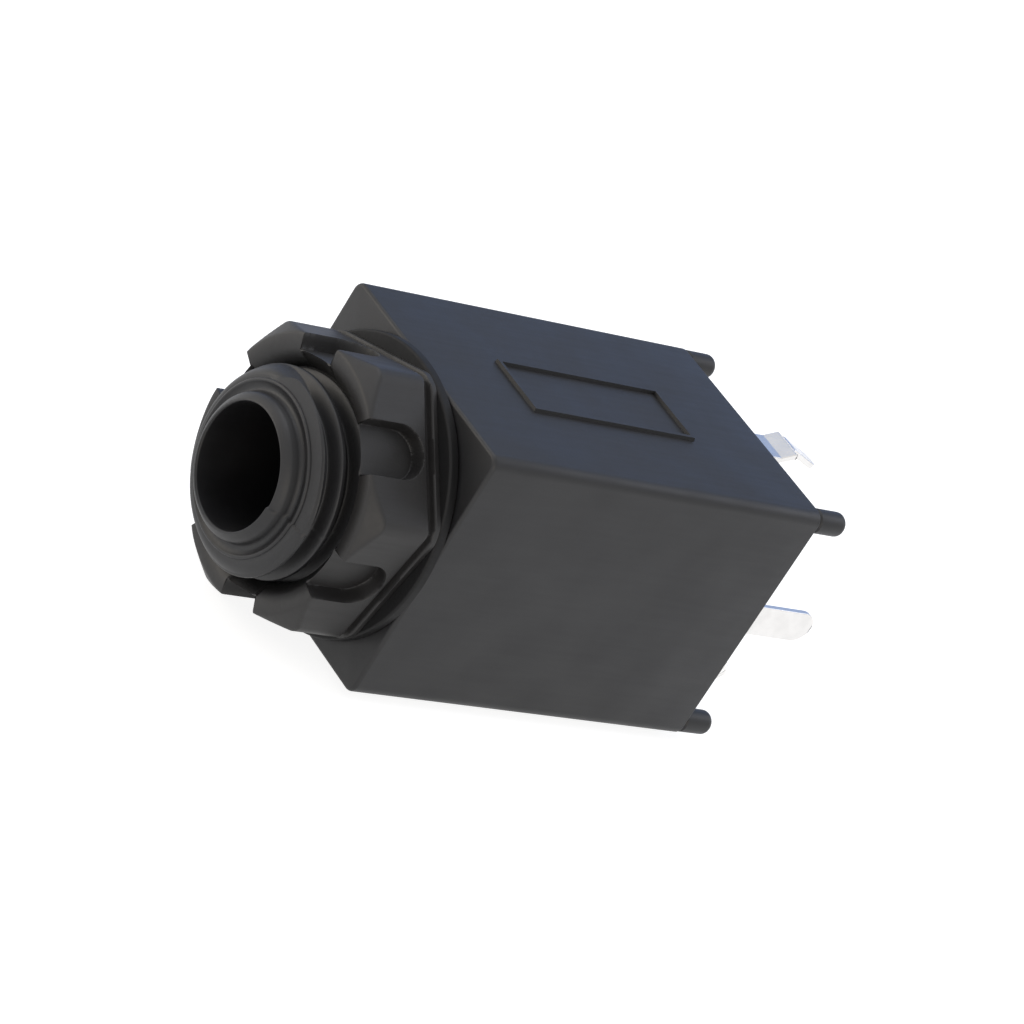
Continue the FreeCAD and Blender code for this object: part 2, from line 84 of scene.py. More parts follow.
class BodySizes(bpy.types.PropertyGroup):
    half: length("Half width", 7.7, "Axis to each side of the square body")
    end: length("Length", 23.6, "Front face to rear edge")
    long_round: length("Long edges", 0.65, "Radius of the four long edges")
    front_round: length("Front edges", 0.22, "Radius round the front face")
    rear_round: length("Rear edges", 0.12, "Radius round the rear rim")
    front_wall: length("Front wall", 2.0, "Wall that carries the nose")
    room: length("Room", 6.6, "Axis to the inside of each side wall")
    post: length("Corner posts", 6.1, "Axis to the corner posts")
    channel: length("Channels", 6.9, "Axis to the floor of the strips' channels")
    recess: length("Recess", 7.1, "Axis to the side of the cover's recess")
    recess_post: length("Recess corners", 6.3, "Axis to the corners of the recess")
    cover: length("Cover", 1.0, "Thickness of the rear cover")
    cover_gap: length("Cover gap", 0.05, "All round the rear cover")
    frame_start: length("Frame start", 5.9, "Front face to the engraved frame")
    frame_end: length("Frame end", 17.5, "Front face to the frame's far end")
    frame_place: length("Frame place", 0.22, "Axis to the frame's middle, towards the right")
    frame_half: length("Frame half width", 2.15, "Half the frame's width")
    frame_line: length("Frame line", 0.27, "Width of the engraved line")
    frame_depth: length("Frame depth", 0.2, "Depth of the engraved line")
    peg_place: length("Peg place", 7.0, "Axis to each peg's centre, along both sides")
    peg: length("Peg radius", 0.68, "Radius of the locating pegs")
    peg_end: length("Peg end", 25.8, "Front face to the pegs' tips")
    peg_round: length("Peg tips", 0.45, "Radius round the pegs' tips")
    peg_waist: length("Peg groove", 0.07, "Depth of the groove round each peg's foot")


class NoseSizes(bpy.types.PropertyGroup):
    bore: length("Bore", 3.3, "Radius of the hole for the plug")
    mouth: length("Bore mouth", 0.15, "Rounding at the mouth of the bore")
    front: length("Nose", 7.8, "Body's front to the nose's front")
    lip: length("Lip", 3.45, "Radius of the flat front of the nose")
    collar: length("Collar", 3.84, "Radius of the lip behind its bevel")
    step: length("Step", 0.96, "Nose's front to the groove behind the lip")
    shoulder: length("Shoulder", 4.62, "Radius of the ridge behind the groove")
    crest: length("Thread crest", 5.5, "Radius over the thread")
    root: length("Thread root", 4.72, "Radius at the foot of the thread")
    pitch: length("Pitch", 1.35, "From turn to turn")
    crest_place: length("Crest place", 6.58, "Body's front to the first crest, on the right")
    spigot: length("Spigot", 4.6, "Radius of the part inside the front wall")


class NutSizes(bpy.types.PropertyGroup):
    rear: length("Rear face", 0.64, "Body's front to the nut")
    front: length("Front face", 5.09, "Body's front to the nut's front")
    bore: length("Bore", 5.56, "Radius between the threads")
    flat: length("Flats", 7.1, "Axis to each flat")
    corner: length("Corners", 8.05, "Radius over the rounded corners")
    bevel: length("Front bevel", 0.85, "Bevel round the front")
    foot: length("Foot", 7.2, "Axis to the ridge behind the groove")
    foot_height: length("Foot height", 0.28, "Length of the ridge at the foot")
    groove_width: length("Groove width", 0.5, "Length of the groove in front of the foot")
    mouth: length("Countersink", 0.79, "Countersink round the bore")
    slot_half: length("Slot half width", 1.375, "Half a spanner slot's width")
    slot_floor: length("Slot floor", 6.25, "Axis to the floor of a spanner slot")
    slot_end: length("Slot end", 1.57, "Body's front to the round end of a slot")
    thread: length("Thread crest", 4.88, "Radius inside the nut's own thread")
    softness: length("Edges", 0.045, "Softness of the moulded edges")
    slot_draft: length("Slot draft", 0.12, "Slope of the walls of a spanner slot")
    groove: length("Groove", 0.28, "Depth of the groove in front of the foot")
    washer: length("Washer", 8.05, "Radius of the washer")
    washer_hole: length("Washer hole", 5.7, "Radius of the washer's hole")
    washer_front: length("Washer front", 0.62, "Body's front to the washer's front")
    washer_rear: length("Washer rear", 0.02, "Body's front to the washer's rear")
    washer_round: length("Washer edge", 0.15, "Rounding of the washer's front edge")
    sides: IntProperty(name="Sides", default=6, min=3,
                       description="Number of sides, each with a spanner slot")
    turn: FloatProperty(name="Turn", default=radians(49.3), subtype="ANGLE",
                        description="Angle of the first flat, from the right towards the top")


class ContactSizes(bpy.types.PropertyGroup):
    strip: length("Strip", 0.35, "Thickness of the contact strips")
    strip_half: length("Strip half width", 1.05, "Half the width of the contact strips")
    strip_middle: length("Strip place", 6.705, "Axis to the middle of each strip")
    tag_end: length("Kinked tags", 29.2, "Body's front to the kinked tags' ends")
    sleeve_end: length("Straight tag end", 28.9, "Body's front to the straight tag's end")
    ring_place: length("Ring tag place", 3.05, "Sideways place of the ring's tag")
    tip_fall: length("Tip tag slope", 0.85, "Inward slope of the tip's tag")
    ring_fall: length("Ring tag slope", 1.45, "Inward slope of the ring's tag")
    pin_half: length("Kinked tag end", 0.65, "Half the width of the kinked tags' ends")
    sleeve_half: length("Straight tag", 0.95, "Half the width of the straight tag")
    leaf: length("Leaf", 0.3, "Thickness of the contact springs")
    leaf_half: length("Leaf half width", 0.95, "Half the width of the contact springs")
    pad_middle: length("Pad place", 6.18, "Axis to the middle of each spring's pad")
    rivet: length("Rivet", 0.45, "Radius of a rivet's shank")
    rivet_head: length("Rivet head", 0.8, "Radius of a rivet's head")


class Finishes(bpy.types.PropertyGroup):
    body: colour("Body", "#111113", "Black of the moulded body")
    nut: colour("Nut", "#181717", "Black of the nut")
    # The washer's black is darker than the body's as painted shade, for the shade between the nut
    # and the body.
    washer: colour("Washer", "#0e0e0f", "Black of the washer")
    tin: colour("Tags", "#e3e1de", "Tin plating on the tags and rivets")
    nickel: colour("Springs", "#cfc9bd", "Nickel plating on the contact springs")


def in_mm(name):
    """The lengths of a group of sizes in millimetres, by name."""
    group = getattr(bpy.context.scene, "socket_" + name)
    return SimpleNamespace(**{key: getattr(group, key) / MM for key in group.__annotations__})


def linear(code):
    """A hex colour as linear red, green, blue and alpha."""
    values = [int(code[i:i + 2], 16) / 255 for i in (1, 3, 5)]
    return [v / 12.92 if v <= 0.04045 else ((v + 0.055) / 1.055) ** 2.4 for v in values] + [1.0]


# Mesh helpers, in millimetres until the mesh is made

def settle(shape, name, sharp=32):
    """Close a shape's seams, face it outwards and make it a smooth mesh that keeps sharp edges."""
    bmesh.ops.remove_doubles(shape, verts=shape.verts, dist=0.0005 * MM)
    bmesh.ops.recalc_face_normals(shape, faces=shape.faces)
    mesh = bpy.data.meshes.new(name)
    shape.to_mesh(mesh)
    shape.free()
    mesh.shade_smooth()
    mesh.set_sharp_from_angle(angle=radians(sharp))
    return mesh


def mesh_of(name, points, faces, sharp=32):
    shape = bmesh.new()
    corners = [shape.verts.new(Vector(point) * MM) for point in points]
    for face in faces:
        shape.faces.new([corners[i] for i in face])
    return settle(shape, name, sharp)


def wrapped(rows, columns, around=True):
    """Faces of a grid of points that closes on itself along its rows, and along its columns too."""
    faces = []
    for row in range(rows if around else rows - 1):
        for column in range(columns):
            after, beside = (row + 1) % rows, (column + 1) % columns
            faces.append((row * columns + column, row * columns + beside,
                          after * columns + beside, after * columns + column))
    return faces


def on_circle(radius, angle, along):
    """A point by its radius and its angle from the right towards the top."""
    return radius * cos(angle), along, radius * sin(angle)


def turned(name, profile, steps=180, sharp=32):
    """A closed profile of (radius, place along the bore) turned about the bore's axis."""
    points = [on_circle(radius, 2 * pi * step / steps, along)
              for radius, along in profile for step in range(steps)]
    return mesh_of(name, points, wrapped(len(profile), steps), sharp)


def arc(centre, radius, start, end, steps):
    """Points of an arc in a plane, with angles in degrees."""
    angles = [radians(start + (end - start) * i / steps) for i in range(steps + 1)]
    return [(centre[0] + radius * cos(a), centre[1] + radius * sin(a)) for a in angles]


def add_loop(shape, points):
    corners = [shape.verts.new(Vector(point) * MM) for point in points]
    for i, corner in enumerate(corners):
        shape.edges.new((corners[i - 1], corner))
    return corners


def join_loops(shape, first, second):
    return [shape.faces.new((first[i - 1], first[i], second[i], second[i - 1]))
            for i in range(len(first))]


def fill_between(shape, *loops):
    """Fill the flat area between an outer loop and the loops inside it."""
    edges = [shape.edges.get((loop[i - 1], loop[i])) for loop in loops for i in range(len(loop))]
    bmesh.ops.triangle_fill(shape, use_beauty=True, use_dissolve=False, edges=edges)


def add_object(name, data):
    added = bpy.data.objects.new(name, data)
    bpy.context.scene.collection.objects.link(added)
    return added


def add_piece(name, mesh, surface, body, stands_for=()):
    """Show a mesh as a piece that rides on a body, in place of the nodes it stands for."""
    mesh.materials.clear()
    mesh.materials.append(finish(surface))
    piece = add_object(name, mesh)
    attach(piece, body)
    if stands_for:
        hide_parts(*stands_for)
    return piece


def soften(piece, width, segments=3):
    """Round a piece's sharp edges with a bevel."""
    bevel = piece.modifiers.new("Softened edges", "BEVEL")
    bevel.width = width * MM
    bevel.segments = segments
    bevel.limit_method = "ANGLE"
    bevel.angle_limit = radians(30)
    bevel.use_clamp_overlap = False
    bevel.harden_normals = True


# Node helpers

def feed(tree, node, inputs):
    """Set each input to a value, or link it to a socket or to the first output of a node."""
    for name, value in inputs.items():
        if isinstance(value, bpy.types.Node):
            value = value.outputs[0]
        if isinstance(value, bpy.types.NodeSocket):
            tree.links.new(value, node.inputs[name])
        else:
            node.inputs[name].default_value = value


def add_node(tree, kind, inputs=(), **settings):
    """A node with its settings and its inputs."""
    node = tree.nodes.new(kind)
    for key, value in settings.items():
        setattr(node, key, value)
    feed(tree, node, dict(inputs))
    return node


def new_tree(name, sizes):
    """A geometry tree with named inputs, each a name and a kind of socket."""
    tree = bpy.data.node_groups.new(name, "GeometryNodeTree")
    tree.interface.new_socket("Geometry", in_out="INPUT", socket_type="NodeSocketGeometry")
    for size, kind in sizes:
        tree.interface.new_socket(size, in_out="INPUT", socket_type="NodeSocket" + kind)
    tree.interface.new_socket("Geometry", in_out="OUTPUT", socket_type="NodeSocketGeometry")
    return tree, tree.nodes.new("NodeGroupInput").outputs


def close_tree(tree, geometry, surface):
    """End a tree in realized geometry with its finish."""
    real = add_node(tree, "GeometryNodeRealizeInstances", {"Geometry": geometry})
    painted = add_node(tree, "GeometryNodeSetMaterial", {
        "Geometry": real, "Material": finish(surface)})
    add_node(tree, "NodeGroupOutput", {"Geometry": painted})
    return tree


def grown(name, tree, values, start=None, sharp=32):
    """The plain mesh that a geometry tree makes from a starting mesh."""
    holder = add_object(name + "_start", start or bpy.data.meshes.new(name + "_start"))
    modifier = holder.modifiers.new(tree.name, "NODES")
    modifier.node_group = tree
    for socket in tree.interface.items_tree:
        if socket.in_out == "INPUT" and socket.name in values:
            modifier[socket.identifier] = values[socket.name]
    depsgraph = bpy.context.evaluated_depsgraph_get()
    mesh = bpy.data.meshes.new_from_object(holder.evaluated_get(depsgraph))
    holder.modifiers.remove(modifier)
    bpy.data.objects.remove(holder)
    if not mesh.polygons:
        raise RuntimeError("%s grew no faces" % name)
    shape = bmesh.new()
    shape.from_mesh(mesh)
    return settle(shape, name, sharp)


# Materials

def principled(name, **values):
    """A material with a Principled shader whose constants are set on its own sockets."""
    material = bpy.data.materials.new(name)
    material.use_nodes = True
    tree = material.node_tree
    shader = tree.nodes["Principled BSDF"]
    feed(tree, shader, {key.replace("_", " "): value for key, value in values.items()})
    place = add_node(tree, "ShaderNodeTexCoord").outputs["Object"]
    return material, tree, shader, place


def spots(tree, place, spacing, detail=2.0, stretch=(1, 1, 1)):
    """Noise whose blotches lie about spacing millimetres apart, stretched along the axes."""
    scaled = add_node(tree, "ShaderNodeMapping", {"Vector": place, "Scale": stretch})
    return add_node(tree, "ShaderNodeTexNoise", {
        "Vector": scaled, "Scale": 1 / (spacing * MM), "Detail": detail}).outputs["Fac"]


def spread(tree, noise, low, high):
    """Map noise from its usual range, 0.35 to 0.65, to low and high."""
    return add_node(tree, "ShaderNodeMapRange", {
        "Value": noise, 1: 0.35, 2: 0.65, 3: low, 4: high})


def tint(tree, shader, noise, code, gain):
    """Let the base colour go over, with the noise, to one that is gain times as light."""
    base = linear(code)
    other = [value * gain for value in base[:3]] + [1.0]
    mixed = add_node(tree, "ShaderNodeMix", {
        0: spread(tree, noise, 0.0, 1.0), 6: base, 7: other}, data_type="RGBA")
    feed(tree, shader, {"Base Color": mixed.outputs[2]})


def moulded_plastic(name, code, rough, streaks, ior=1.5):
    """Glass-filled nylon as it leaves a spark-eroded mould: black with a dull sheen, a fine even
    grain, cloudy patches where the melt flowed, and faint drag lines along the way it was drawn.
    The real grain is too fine for the picture, so it is drawn as coarse as it needs to show."""
    material, tree, shader, place = principled(name, IOR=ior)
    cloud = spots(tree, place, spacing=3.5, detail=3.0)
    drag = spots(tree, place, spacing=0.3, stretch=(1, 0.06, 1))
    tint(tree, shader, cloud, code, 1.25)
    patchy = spread(tree, cloud, rough - 0.03, rough + 0.035)
    lined = add_node(tree, "ShaderNodeMath", {
        0: patchy, 1: spread(tree, drag, -streaks, streaks)}, operation="ADD")
    feed(tree, shader, {"Roughness": lined})
    grain = add_node(tree, "ShaderNodeBump", {
        "Height": spots(tree, place, spacing=0.09, detail=1.0),
        "Strength": 0.25, "Distance": 0.01 * MM})
    lines = add_node(tree, "ShaderNodeBump", {
        "Height": drag, "Strength": 0.1, "Distance": 0.006 * MM, "Normal": grain})
    feed(tree, shader, {"Normal": lines})
    return material


def plated_metal(name, code, rough):
    """Plating on rolled and punched brass strip: bright, slightly blurred along the rolling, with
    small dull patches where the plating pooled."""
    material, tree, shader, place = principled(name, Metallic=1.0)
    rolled = spots(tree, place, spacing=0.12, stretch=(1, 0.05, 1))
    pooled = spots(tree, place, spacing=0.9, detail=3.0)
    tint(tree, shader, pooled, code, 0.94)
    relief = add_node(tree, "ShaderNodeBump", {
        "Height": rolled, "Strength": 0.25, "Distance": 0.01 * MM})
    feed(tree, shader, {
        "Roughness": spread(tree, pooled, rough - 0.03, rough + 0.05), "Normal": relief})
    return material


# Each finish's slot in the record, how it is made, its colour and its roughness, and for plastic
# the strength of the drag lines. The washer's black, darker than the body's, and its lower IOR,
# which weakens its sheen, are painted shade for the shade between the nut and the body.
FINISHES = {
    "moulded_body": ("moulded_black", moulded_plastic, "body", 0.5, 0.012),
    "moulded_nut": ("nut_black", moulded_plastic, "nut", 0.52, 0.02),
    "moulded_washer": ("washer_black", moulded_plastic, "washer", 0.6, 0.02, 1.35),
    "tinned_brass": ("tinned_metal", plated_metal, "tin", 0.22),
    "nickel_plated_bronze": ("spring_metal", plated_metal, "nickel", 0.26),
}


def finish(surface):
    """The material of a finish, made the first time that a piece asks for it."""
    _, make, key, *values = FINISHES[surface]
    code = getattr(bpy.context.scene.socket_finishes, key)
    return bpy.data.materials.get(surface) or make(surface, code, *values)


# Moulded body

def on_each_side(run_of):
    """The points of each side of a square: those for its right side, turned to where it is."""
    turns = (lambda x, z: (x, z), lambda x, z: (-z, x), lambda x, z: (-x, -z), lambda x, z: (z, -x))
    return [turn(x, z) for side, turn in enumerate(turns) for x, z in run_of(side)]


def rounded_square(half, radius, stops, steps=8):
    """Points round a square with rounded corners, with a point at each stop along every side."""
    run = [(half, stop) for stop in stops]
    run += arc((half - radius, half - radius), radius, 0, 90, steps)
    return on_each_side(lambda side: run)


def notched_square(reach, corner, notches, depth):
    """A square with its corners cut back and a notch or channel in the middle of some sides."""
    def run_of(side):
        run = [(reach, -corner)]
        if side in notches:
            low, high = notches[side]
            run += [(reach, low), (reach + depth, low), (reach + depth, high), (reach, high)]
        return run + [(reach, corner), (corner, corner)]
    return on_each_side(run_of)


def rounded_edge(radius, steps):
    """How deep each row of a rounded edge lies, and how far it is pulled in from the side."""
    bends = [radians(90 * step / steps) for step in range(steps + 1)]
    return [(radius * (1 - cos(bend)), radius * (1 - sin(bend))) for bend in bends]


def at(outline, along):
    return [(x, along, z) for x, z in outline]


def strip_notches(ring_low):
    """Where the three strips pass, by side: right, top and bottom."""
    contact = in_mm("contacts")
    side = contact.strip_half + SLACK
    return {0: (-side, side), 1: (-side, side), 3: (ring_low - side, contact.ring_place + side)}


FRONT_STEPS, REAR_STEPS = 6, 4    # faces across the rounding of the front and the rear edges
HOLE_STEPS = 96                   # faces round the hole for the nose
LINE_SLOPE = 0.04                 # millimetres that an engraved wall leans in


def body_shell_mesh():
    size = in_mm("body")
    nose = in_mm("nose")
    shape = bmesh.new()
    inner = size.frame_half - size.frame_line
    stops = [reach - size.frame_place
             for reach in (-size.frame_half, -inner, inner, size.frame_half)]
    rows = rounded_edge(size.front_round, FRONT_STEPS)
    rows += [(size.frame_start, 0.0), (size.frame_start + size.frame_line, 0.0),
             (size.frame_end - size.frame_line, 0.0), (size.frame_end, 0.0)]
    rows += [(size.end - depth, pull)
             for depth, pull in reversed(rounded_edge(size.rear_round, REAR_STEPS))]
    loops = []
    for along, pull in rows:
        outline = rounded_square(size.half - pull, size.long_round - pull, stops)
        loops.append(add_loop(shape, at(outline, along)))
    sides = []
    for first, second in zip(loops, loops[1:]):
        sides += join_loops(shape, first, second)

    spigot, spigot_end = (add_loop(shape, [
        on_circle(nose.spigot, 2 * pi * i / HOLE_STEPS, along) for i in range(HOLE_STEPS)])
        for along in (0, size.front_wall))
    fill_between(shape, loops[0], spigot)
    join_loops(shape, spigot, spigot_end)

    cover_front = size.end - size.cover
    recess = notched_square(size.recess, size.recess_post, {}, 0)
    room = notched_square(size.room, size.post, strip_notches(0), size.channel - size.room)
    rim = add_loop(shape, at(recess, size.end))
    seat = add_loop(shape, at(recess, cover_front))
    ledge = add_loop(shape, at(room, cover_front))
    wall = add_loop(shape, at(room, size.front_wall))
    fill_between(shape, loops[-1], rim)
    join_loops(shape, rim, seat)
    fill_between(shape, seat, ledge)
    join_loops(shape, ledge, wall)
    fill_between(shape, wall, spigot_end)

    def within(face, margin):
        """Whether a face of the top lies in the engraved frame, made smaller by a margin."""
        x, along, z = face.calc_center_median() / MM
        return (z > size.half - 0.01 and abs(x - size.frame_place) < size.frame_half - margin
                and size.frame_start + margin < along < size.frame_end - margin)
    line = [face for face in sides if within(face, 0) and not within(face, size.frame_line)]
    bmesh.ops.inset_region(shape, faces=line, thickness=LINE_SLOPE * MM,
                           depth=-size.frame_depth * MM, use_even_offset=True, use_boundary=True)
    return settle(shape, "body_shell")


def peg_mesh(size):
    """One locating peg, from inside the rear wall to its rounded tip, about its own axis."""
    sunk, groove, slope = 0.5, 0.1, 0.08
    base, groove_end = size.end - sunk, size.end + groove
    waist = size.peg - size.peg_waist
    foot = [(waist, base), (waist, groove_end), (size.peg, groove_end + slope)]
    tip = arc((size.peg - size.peg_round, size.peg_end - size.peg_round), size.peg_round, 0, 90, 6)
    profile = [(PINHOLE, base)] + foot + tip + [(PINHOLE, size.peg_end)]
    return turned("peg", profile, steps=40, sharp=40)


def pieces_on_points(surface):
    """Copies of one piece on the points of a mesh, each turned about the bore's direction."""
    tree, given = new_tree("pieces_on_points", [("Piece", "Object"), ("Turn", "String")])
    piece = add_node(tree, "GeometryNodeObjectInfo", {"Object": given["Piece"]})
    turn = add_node(tree, "GeometryNodeInputNamedAttribute", {"Name": given["Turn"]},
                    data_type="FLOAT")
    about = add_node(tree, "ShaderNodeCombineXYZ", {"Y": turn.outputs["Attribute"]})
    copies = add_node(tree, "GeometryNodeInstanceOnPoints", {
        "Points": given["Geometry"], "Instance": piece.outputs["Geometry"], "Rotation": about})
    return close_tree(tree, copies, surface)


def placed_copies(name, piece_mesh, places, turns, surface, sharp=32):
    """One mesh of copies of a piece at places in millimetres, turned by angles about the bore."""
    start = bpy.data.meshes.new(name + "_places")
    start.from_pydata([Vector(place) * MM for place in places], [], [])
    start.attributes.new("turn", "FLOAT", "POINT").data.foreach_set("value", turns)
    piece = add_object(name + "_piece", piece_mesh)
    mesh = grown(name, pieces_on_points(surface), {"Piece": piece, "Turn": "turn"}, start, sharp)
    bpy.data.objects.remove(piece)
    return mesh


class MakeBodyShell(bpy.types.Operator):
    """Make the hollow square body with its engraved frame"""
    bl_idname = "socket.body_shell"
    bl_label = "Body shell"

    def execute(self, context):
        add_piece("body_shell", body_shell_mesh(), "moulded_body", "housing", ["housing"])
        return {"FINISHED"}


class MakePegs(bpy.types.Operator):
    """Make the four locating pegs at the rear corners"""
    bl_idname = "socket.locating_pegs"
    bl_label = "Locating pegs"

    def execute(self, context):
        size = in_mm("body")
        place = size.peg_place
        corners = [(x, 0, z) for x in (-place, place) for z in (-place, place)]
        mesh = placed_copies("locating_pegs", peg_mesh(size), corners, [0.0] * 4, "moulded_body")
        add_piece("locating_pegs", mesh, "moulded_body", "housing")
        return {"FINISHED"}


# Threaded nose

def smooth_step(low, high, value):
    t = min(1.0, max(0.0, (value - low) / (high - low)))
    return t * t * (3 - 2 * t)


def crest_place(size, angle):
    """Where the first crest lies along the bore, at an angle from the right towards the top."""
    return -size.crest_place - size.pitch * angle / (2 * pi)


SLOPE_LEAD = 0.02    # millimetres by which the slope starts before the end of the lip's step


def lip_line(size):
    """Radius and depth, in millimetres, from the flat front of the nose over its bevelled lip, the
    groove behind that and the ridge beside the groove."""
    bevel = [(size.lip, 0.0), (size.lip + 0.17, 0.12), (size.collar - 0.06, 0.3),
             (size.collar, 0.42)]
    groove = [(size.collar + 0.02, size.step - 0.24), (size.collar + 0.08, size.step - 0.08),
              (size.collar + 0.21, size.step), (size.shoulder - 0.42, size.step - 0.02)]
    ridge_round, ridge_high, turned_over = 0.12, 0.04, 145
    centre = size.shoulder - ridge_round, size.step - ridge_high
    ridge = arc(centre, ridge_round, -turned_over, 0, 8)
    return bevel + groove + ridge


def first_slope(size, angle, depth):
    """Share of the crest's height on the long slope from the shoulder up to the first crest. Across
    the top of the nose it fades into the slope up to the next turn's crest."""
    fade_start, fade_end, fullness = radians(70), radians(125), 0.4
    signed = (angle + pi) % (2 * pi) - pi
    first = 1 - smooth_step(fade_start, fade_end, signed)
    crest = size.front - size.crest_place - size.pitch * signed / (2 * pi)

    def rise(end):
        if depth > end:
            return 0.0
        share = (depth - size.step + SLOPE_LEAD) / max(0.1, end - size.step)
        return min(1.0, max(0.0, share)) ** fullness
    return max(first * rise(crest), (1 - first) * rise(crest + size.pitch))


def thread_height(size, angle, along):
    """Height of the right-hand thread over its foot: a narrow crest between rounded flanks, which
    grows out of the nose within a twelfth of a turn."""
    crest_share, foot_share = 0.06, 0.36          # of the pitch, from the crest's middle
    growth_start, growth_end = -120 / 360, -90 / 360    # in turns from the first crest
    turns = (along - crest_place(size, angle)) / size.pitch
    off = abs(turns - round(turns))
    wound = round(turns) - angle / (2 * pi)
    grown_by = smooth_step(growth_start, growth_end, wound)
    return (size.crest - size.root) * (1 - smooth_step(crest_share, foot_share, off)) * grown_by


def nose_front(size, angle):
    """The front face stands a little further back where the thread starts, behind a short step
    that fades over most of a quarter turn."""
    setback, step_degrees, fade_degrees = 0.13, 1.5, 75
    around = degrees(angle) % 360
    fade = 1 - smooth_step(0, fade_degrees, around)
    return -size.front + setback * fade * smooth_step(0, step_degrees, around)


def nose_mesh():
    size = in_mm("nose")
    inner_end = in_mm("body").front_wall - 0.001
    columns, rows = 240, 280
    crowding = 1.15            # draws the rows together towards the front
    run_out, margin = 0.4, 0.1    # slope of the foot behind the ridge, and width inside the lip
    grid = []
    for column in range(columns):
        angle = 2 * pi * column / columns
        front = nose_front(size, angle)
        line = [(size.bore, along) for along in (inner_end, 0, -4, -7)]
        line += arc((size.bore + size.mouth, front + size.mouth), size.mouth, 180, 270, 5)
        line.append((size.lip - margin, front))
        line += [(radius, front + depth) for radius, depth in lip_line(size)]
        start = front + size.step - SLOPE_LEAD
        for row in range(rows + 1):
            along = start * (1 - (row / rows) ** crowding)
            slope = (size.crest - size.shoulder) * first_slope(size, angle, along - front)
            foot = min(size.root, size.shoulder + run_out * (along - start))
            radius = max(foot + thread_height(size, angle, along), size.shoulder + slope)
            line.append((min(radius, size.crest), along))
        line += [(size.spigot, 0), (size.spigot, inner_end)]
        grid.append(line)
    points = [on_circle(grid[column][row][0], 2 * pi * column / columns, grid[column][row][1])
              for row in range(len(grid[0])) for column in range(columns)]
    return mesh_of("threaded_nose", points, wrapped(len(grid[0]), columns), 40)


class MakeNose(bpy.types.Operator):
    """Make the nose with the bore and its coarse moulded thread"""
    bl_idname = "socket.threaded_nose"
    bl_label = "Threaded nose"

    def execute(self, context):
        add_piece("threaded_nose", nose_mesh(), "moulded_body", "housing")
        return {"FINISHED"}


# Washer and nut

class MakeWasher(bpy.types.Operator):
    """Make the flat washer between the body and the nut"""
    bl_idname = "socket.panel_washer"
    bl_label = "Washer"

    def execute(self, context):
        size = in_mm("nut")
        front, rear, soft, bevel = -size.washer_front, -size.washer_rear, size.washer_round, 0.08
        profile = [(size.washer_hole, rear), (size.washer_hole, front + bevel),
                   (size.washer_hole + bevel, front)]
        profile += arc((size.washer - soft, front + soft), soft, -90, 0, 6)
        profile += [(size.washer, rear - bevel), (size.washer - bevel, rear)]
        add_piece("washer_ring", turned("washer_ring", profile), "moulded_washer", "washer",
                  ["panel_washer"])
        return {"FINISHED"}


def soft_least(values, softness):
    """The least of some lengths, with the corner between them rounded off."""
    least = min(values)
    return least - softness * log(sum(exp((least - value) / softness) for value in values))


def side_height(size, across, along):
    """How far one of the nut's sides stands from the bore's axis, with its spanner slot."""
    groove_slope, ridge_slope = 0.3, 0.1
    bevel = max(0.0, size.bevel - (along + size.front))
    turned_side = sqrt((size.corner - bevel) ** 2 - across * across)
    ridge_start = -size.rear - size.foot_height
    groove_start = ridge_start - size.groove_width
    risen = smooth_step(ridge_start - ridge_slope, ridge_start, along)
    sunk = smooth_step(groove_start, groove_start + groove_slope, along) * (1 - risen)
    flat = size.flat - size.groove * sunk + (size.foot - size.flat) * risen
    height = soft_least((turned_side, flat), size.softness)
    centre = -size.slot_end - size.slot_half
    inside = size.slot_half - hypot(across, max(0.0, along - centre))
    cut = smooth_step(-size.slot_draft / 2, size.slot_draft / 2, inside)
    return height + min(0.0, size.slot_floor - height) * cut


def nut_side_mesh(size, sides):
    """The part of the nut that belongs to one side: the side from corner to corner, and the faces
    and the bore within it. Its points lie close together where a slot is cut, and further apart
    towards the corners, whose places are shares of half a side."""
    fine, coarse, edge_round, slot_margin = 0.03, 0.1, 0.1, 0.1
    half_turn = pi / sides
    past_slot = (size.slot_half + slot_margin) * size.corner / (size.corner - size.bevel)
    shares = [fine * i / (size.corner * sin(half_turn)) for i in range(int(past_slot / fine) + 1)]
    shares += [0.46 + 0.06 * i for i in range(6)] + [0.82, 0.86, 0.9, 0.93, 0.96, 0.98, 1.0]
    shares = [-share for share in reversed(shares[1:])] + shares
    depth = size.front - size.rear
    slot_start = size.front - size.slot_end - size.slot_half
    steps = [0.0, 0.02, 0.05, 0.09]
    steps += [0.15 + coarse * i for i in range(int((slot_start - 0.15) / coarse))]
    steps += [slot_start + fine * i for i in range(int((depth - slot_start) / fine))]
    steps += [depth - fine / 2, depth]
    lines = []
    for share in shares:
        across = share * (size.corner - size.bevel) * sin(half_turn)
        mouth = min(size.bore + size.mouth, hypot(side_height(size, across, -size.front), across))
        back = size.bore + size.mouth - mouth
        outer = []
        for step in [back + step * (depth - back) / depth for step in steps]:
            along = -size.front + step
            bevel = max(0.0, size.bevel - step)
            across = share * (size.corner - bevel) * sin(half_turn)
            to_edge = 1 - min(1.0, step / edge_round)
            rounding = edge_round * (1 - sqrt(max(0.0, 1 - to_edge ** 2)))
            height = side_height(size, across, along) - rounding
            if abs(share) == 1.0:
                across = share * height * tan(half_turn)
            outer.append((height, along, across))
        height, _, across = outer[0]
        reach = hypot(height, across)
        mouth, back = min(mouth, reach), -size.front + back
        line = [(height * radius / reach, along, across * radius / reach) for radius, along in (
            (size.bore, -size.rear), (size.bore, -size.front + size.mouth), (mouth, back))]
        lines.append(line + outer)
    columns = len(lines)
    points = [lines[column][row] for row in range(len(lines[0])) for column in range(columns)]
    faces = [face for face in wrapped(len(lines[0]), columns) if abs(face[1] - face[0]) == 1]
    return mesh_of("nut_side", points, faces, 50)


